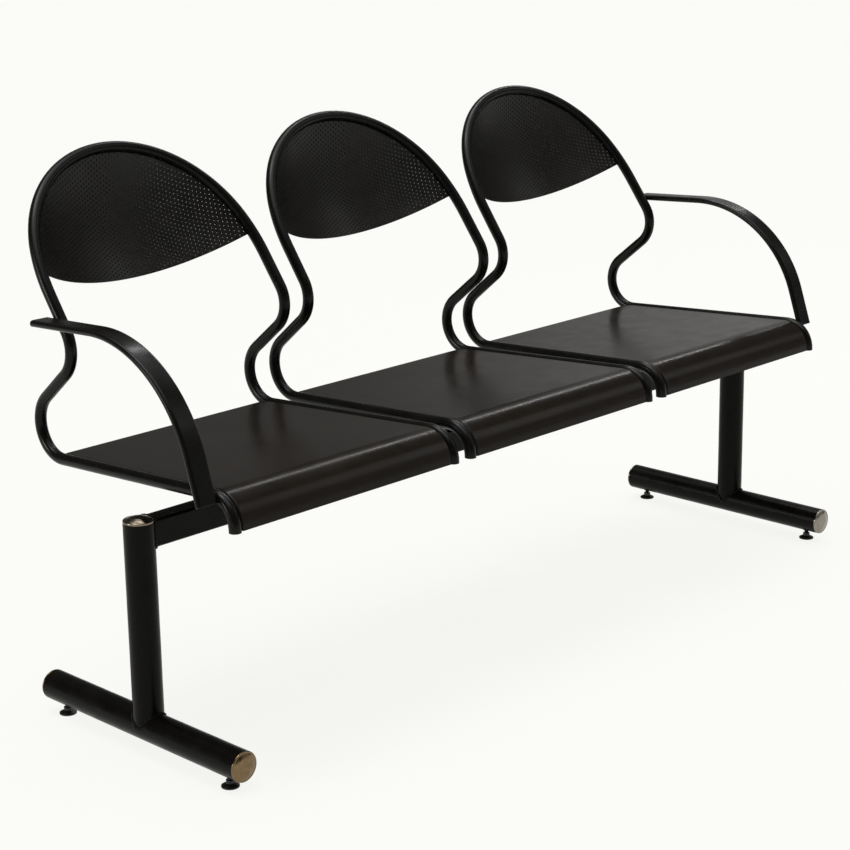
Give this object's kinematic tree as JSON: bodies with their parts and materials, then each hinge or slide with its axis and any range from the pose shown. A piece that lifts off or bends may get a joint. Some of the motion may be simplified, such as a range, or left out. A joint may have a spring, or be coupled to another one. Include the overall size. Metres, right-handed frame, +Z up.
{
  "type": "waiting room chair",
  "caption": "Beam-mounted waiting room bench of seats with hooped tube backs, dished perforated back panels, sheet steel seat pans, end armrests and levelling feet.",
  "frame": {"origin": "on the floor under the middle of the whole bench's bounding box", "axes": "+X along the bench to the right as seen from the front, -Y is the side the sitters face, +Z up"},
  "size_m": [1.5584, 0.6085, 0.8809],
  "materials": {
    "frame_powder_coat": "satin black powder coat on bent steel tube",
    "leg_powder_coat": "satin black powder coat on the legs and beam",
    "seat_powder_coat": "smooth black powder coat with a soft sheen on the pressed seat pan",
    "panel_powder_coat": "matte black powder coat on perforated sheet",
    "chrome_plate": "bright chrome plate",
    "zinc_plated_steel": "bright zinc plate",
    "black_plastic": "moulded black nylon"
  },
  "bodies": {
    "bench": {"left_seat_frame": "frame_powder_coat", "left_seat_pan": "seat_powder_coat", "left_back_panel": "panel_powder_coat", "left_front_cross_bar": "frame_powder_coat", "left_rear_cross_bar": "frame_powder_coat", "left_seat_carrier": "frame_powder_coat", "middle_seat_frame": "frame_powder_coat", "middle_seat_pan": "seat_powder_coat", "middle_back_panel": "panel_powder_coat", "middle_front_cross_bar": "frame_powder_coat", "middle_rear_cross_bar": "frame_powder_coat", "middle_seat_carrier": "frame_powder_coat", "right_seat_frame": "frame_powder_coat", "right_seat_pan": "seat_powder_coat", "right_back_panel": "panel_powder_coat", "right_front_cross_bar": "frame_powder_coat", "right_rear_cross_bar": "frame_powder_coat", "right_seat_carrier": "frame_powder_coat", "carrier_bolts": "zinc_plated_steel", "carrier_washers": "zinc_plated_steel", "carrier_nuts": "zinc_plated_steel", "foot_inserts": "zinc_plated_steel", "frame_end_plugs": "black_plastic", "armrest_plugs": "black_plastic", "cross_beam": "leg_powder_coat", "left_post": "leg_powder_coat", "left_foot_tube": "leg_powder_coat", "left_post_cap": "chrome_plate", "left_front_foot_cap": "chrome_plate", "left_rear_foot_cap": "chrome_plate", "left_armrest": "frame_powder_coat", "right_post": "leg_powder_coat", "right_foot_tube": "leg_powder_coat", "right_post_cap": "chrome_plate", "right_front_foot_cap": "chrome_plate", "right_rear_foot_cap": "chrome_plate", "right_armrest": "frame_powder_coat"},
    "left_front_pad": {"left_front_leveller_pad": "black_plastic"},
    "left_front_stud": {"left_front_leveller_stud": "zinc_plated_steel"},
    "left_rear_pad": {"left_rear_leveller_pad": "black_plastic"},
    "left_rear_stud": {"left_rear_leveller_stud": "zinc_plated_steel"},
    "right_front_pad": {"right_front_leveller_pad": "black_plastic"},
    "right_front_stud": {"right_front_leveller_stud": "zinc_plated_steel"},
    "right_rear_pad": {"right_rear_leveller_pad": "black_plastic"},
    "right_rear_stud": {"right_rear_leveller_stud": "zinc_plated_steel"}
  },
  "joints": [
    {"name": "left_front_pad_height", "type": "slide", "parent": "bench", "child": "left_front_pad", "axis": [0, 0, 1], "range_m": [-0.012, 0.005]},
    {"name": "left_front_stud_turn", "type": "hinge", "parent": "left_front_pad", "child": "left_front_stud", "pos_m": [-0.755, -0.26709, 0.03], "axis": [0, 0, 1], "range_deg": [-3461, 1445]},
    {"name": "left_rear_pad_height", "type": "slide", "parent": "bench", "child": "left_rear_pad", "axis": [0, 0, 1], "range_m": [-0.012, 0.005]},
    {"name": "left_rear_stud_turn", "type": "hinge", "parent": "left_rear_pad", "child": "left_rear_stud", "pos_m": [-0.755, 0.13121, 0.03], "axis": [0, 0, 1], "range_deg": [-3461, 1445]},
    {"name": "right_front_pad_height", "type": "slide", "parent": "bench", "child": "right_front_pad", "axis": [0, 0, 1], "range_m": [-0.012, 0.005]},
    {"name": "right_front_stud_turn", "type": "hinge", "parent": "right_front_pad", "child": "right_front_stud", "pos_m": [0.755, -0.26709, 0.03], "axis": [0, 0, 1], "range_deg": [-3461, 1445]},
    {"name": "right_rear_pad_height", "type": "slide", "parent": "bench", "child": "right_rear_pad", "axis": [0, 0, 1], "range_m": [-0.012, 0.005]},
    {"name": "right_rear_stud_turn", "type": "hinge", "parent": "right_rear_pad", "child": "right_rear_stud", "pos_m": [0.755, 0.13121, 0.03], "axis": [0, 0, 1], "range_deg": [-3461, 1445]}
  ],
  "couplings": [
    {"joint": "left_front_stud_turn", "follows": "left_front_pad_height", "rad_per_m": 5026.5},
    {"joint": "left_rear_stud_turn", "follows": "left_rear_pad_height", "rad_per_m": 5026.5},
    {"joint": "right_front_stud_turn", "follows": "right_front_pad_height", "rad_per_m": 5026.5},
    {"joint": "right_rear_stud_turn", "follows": "right_rear_pad_height", "rad_per_m": 5026.5}
  ]
}
